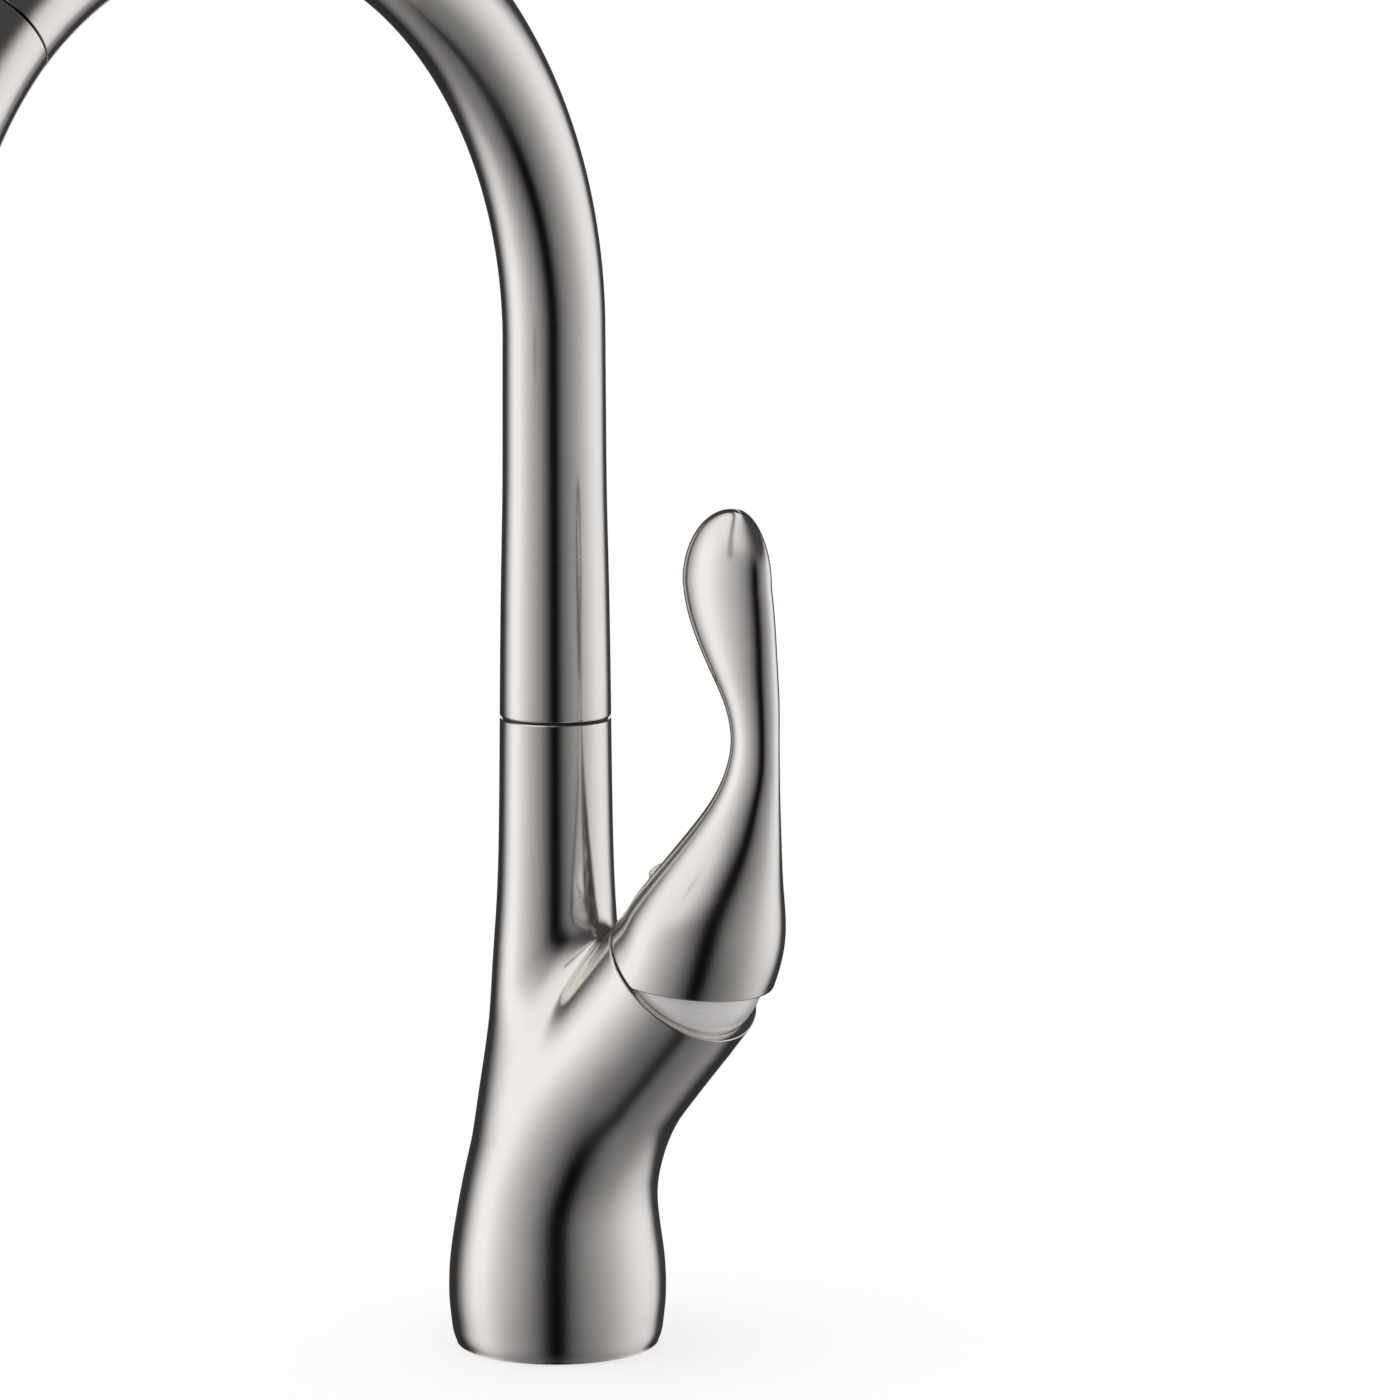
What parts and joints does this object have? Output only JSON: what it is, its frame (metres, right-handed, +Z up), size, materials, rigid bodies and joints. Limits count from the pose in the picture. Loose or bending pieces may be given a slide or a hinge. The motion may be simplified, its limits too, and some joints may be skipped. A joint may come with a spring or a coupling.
{
  "type": "pull-down kitchen faucet",
  "caption": "One-hole kitchen mixer with a swivelling gooseneck spout, a pull-down spray head on a hose and a side lever on a tilted branch.",
  "frame": {"origin": "centre of the base's foot on the deck's top face, on the spout's turning axis", "axes": "+Z up along the neck, -Y toward the sink and the user, where the spout reaches, +X toward the lever"},
  "size_m": [0.1036, 0.2838, 0.4992],
  "materials": {
    "brushed_nickel": "fine satin brushing, warm grey nickel tone",
    "bright_steel": "plain bright steel",
    "bare_brass": "turned brass, unplated",
    "bare_copper": "drawn copper, slightly dulled",
    "black_rubber": "matt moulded rubber",
    "grey_silicone": "soft satin silicone",
    "hose_braid": "braided nylon over a plastic tube",
    "black_plastic": "moulded acetal",
    "grey_plastic": "moulded grey plastic",
    "white_plastic": "moulded white plastic",
    "white_ceramic": "lapped ceramic",
    "stem_metal": "nickel plated brass",
    "clear_plug": "clear moulded plastic"
  },
  "bodies": {
    "root": {"body": "brushed_nickel", "base_gasket": "black_rubber", "mounting_shank": "bare_brass", "rubber_washer": "black_rubber", "steel_washer": "bright_steel", "mounting_nut": "bare_brass", "clamp_screws": "bright_steel", "hot_supply_tube": "bare_copper", "cold_supply_tube": "bare_copper", "hot_inlet_coupler": "bare_brass", "cold_inlet_coupler": "bare_brass", "outlet_tube": "bare_copper", "outlet_plug": "bare_brass", "hose": "hose_braid", "hose_end_nipple": "bare_brass", "upper_glide_ring": "black_plastic", "lower_glide_ring": "black_plastic", "port_seals": "black_rubber", "cartridge_base": "white_plastic", "fixed_disc": "white_ceramic", "cartridge_housing": "white_plastic", "cartridge_nut": "bare_brass", "dome_ring": "brushed_nickel"},
    "spout": {"spout_tube": "brushed_nickel", "spout_sleeve": "bare_brass", "spout_snap_ring": "bright_steel", "spout_o_ring": "black_rubber", "hose_guide_bush": "black_plastic", "dock_collar": "black_plastic"},
    "cartridge_turner": {"cartridge_rotor": "white_plastic", "stem_pin": "bright_steel"},
    "ceramic_slider": {"moving_disc": "white_ceramic", "disc_carrier": "white_plastic"},
    "lever": {"handle": "brushed_nickel", "cartridge_stem": "stem_metal", "handle_set_screw": "bright_steel", "handle_index_plug": "clear_plug"},
    "spray_head": {"spray_head_shell": "brushed_nickel", "head_waterway": "black_plastic", "hose_ferrule": "bright_steel", "hose_swivel_nut": "bare_brass", "check_valve": "white_plastic", "nozzle_plate": "grey_plastic", "nozzle_membrane": "grey_silicone", "aerator_cage": "grey_plastic", "aerator_screen": "bright_steel", "rocker_pin": "bright_steel"},
    "rocker": {"mode_rocker": "brushed_nickel"},
    "spool": {"diverter_spool": "black_plastic"}
  },
  "joints": [
    {"name": "spout_swivel", "type": "hinge", "parent": "root", "child": "spout", "pos_m": [0, 0, 0.1652], "axis": [0, 0, 1], "range_deg": [-75, 75], "deforming": ["hose"]},
    {"name": "handle_turn", "type": "hinge", "parent": "root", "child": "cartridge_turner", "pos_m": [0.04588, 0, 0.10519], "axis": [0.6747, 0, 0.7381], "range_deg": [-45, 45]},
    {"name": "handle_lift", "type": "hinge", "parent": "cartridge_turner", "child": "lever", "pos_m": [0.04588, 0, 0.10519], "axis": [0, 1, 0], "range_deg": [0, 22]},
    {"name": "disc_slide", "type": "slide", "parent": "cartridge_turner", "child": "ceramic_slider", "axis": [-0.7381, 0, 0.6747], "range_m": [0, 0.004]},
    {"name": "head_pull", "type": "slide", "parent": "spout", "child": "spray_head", "axis": [0, -0.7294, -0.684], "range_m": [0, 0.45], "stiffness_N_per_m": 4, "springref_m": -1, "deforming": ["hose"]},
    {"name": "rocker_tilt", "type": "hinge", "parent": "spray_head", "child": "rocker", "pos_m": [0, -0.23818, 0.28464], "axis": [1, 0, 0], "range_deg": [0, 10]},
    {"name": "spool_slide", "type": "slide", "parent": "spray_head", "child": "spool", "axis": [0, 0.9397, -0.342], "range_m": [0, 0.0015]}
  ],
  "couplings": [
    {"joint": "disc_slide", "follows": "handle_lift", "m_per_rad": 0.01},
    {"joint": "spool_slide", "follows": "rocker_tilt", "m_per_rad": 0.008}
  ]
}
